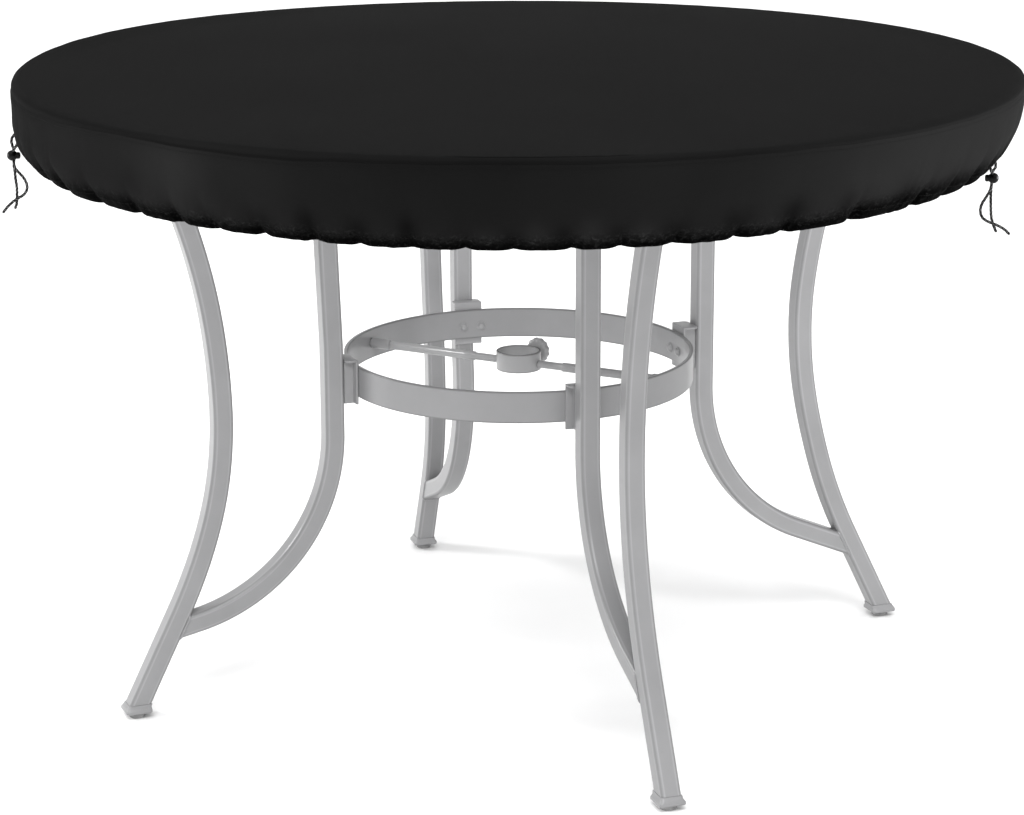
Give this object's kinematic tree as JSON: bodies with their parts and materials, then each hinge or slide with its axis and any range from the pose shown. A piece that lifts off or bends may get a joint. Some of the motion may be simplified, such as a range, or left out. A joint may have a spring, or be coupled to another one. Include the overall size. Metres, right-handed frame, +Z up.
{
  "type": "patio table cover on a round patio table",
  "caption": "Round patio table cover with a taut top, a drawcord-gathered hem and cord locks, fitted over a plain round table on curved steel legs tied by a hoop.",
  "frame": {"origin": "on the floor under the middle of the table", "axes": "+Z up, +X along the cross rod under the table top"},
  "size_m": [1.2008, 1.201, 0.7599],
  "materials": {
    "cover_fabric": "black coated polyester weave, satin to matte",
    "drawcord": "dark twisted polyester cord",
    "lock_plastic": "black moulded plastic",
    "grey_steel": "light grey powder coat, satin",
    "glide_rubber": "grey rubber"
  },
  "bodies": {
    "root": {"cover_top": "cover_fabric", "cover_skirt": "cover_fabric", "drawcord_left_a": "drawcord", "drawcord_left_b": "drawcord", "drawcord_right_a": "drawcord", "drawcord_right_b": "drawcord", "cord_lock_left": "lock_plastic", "cord_lock_right": "lock_plastic", "lock_button_left": "lock_plastic", "lock_button_right": "lock_plastic", "table_top": "grey_steel", "leg_plate_right": "grey_steel", "leg_plate_back": "grey_steel", "leg_plate_left": "grey_steel", "leg_plate_front": "grey_steel", "outer_bar_right": "grey_steel", "outer_bar_back": "grey_steel", "outer_bar_left": "grey_steel", "outer_bar_front": "grey_steel", "inner_bar_right": "grey_steel", "inner_bar_back": "grey_steel", "inner_bar_left": "grey_steel", "inner_bar_front": "grey_steel", "foot_cap_right": "grey_steel", "foot_cap_back": "grey_steel", "foot_cap_left": "grey_steel", "foot_cap_front": "grey_steel", "foot_glide_right": "glide_rubber", "foot_glide_back": "glide_rubber", "foot_glide_left": "glide_rubber", "foot_glide_front": "glide_rubber", "bracket_right": "grey_steel", "bracket_back": "grey_steel", "bracket_left": "grey_steel", "bracket_front": "grey_steel", "bracket_bolt_right_1": "grey_steel", "bracket_bolt_right_2": "grey_steel", "bracket_bolt_back_1": "grey_steel", "bracket_bolt_back_2": "grey_steel", "bracket_bolt_left_1": "grey_steel", "bracket_bolt_left_2": "grey_steel", "bracket_bolt_front_1": "grey_steel", "bracket_bolt_front_2": "grey_steel", "hoop": "grey_steel", "cross_rod_1": "grey_steel", "cross_rod_2": "grey_steel", "rod_ferrule_1": "grey_steel", "rod_ferrule_2": "grey_steel", "umbrella_ring": "grey_steel", "umbrella_knob": "grey_steel"}
  },
  "joints": []
}
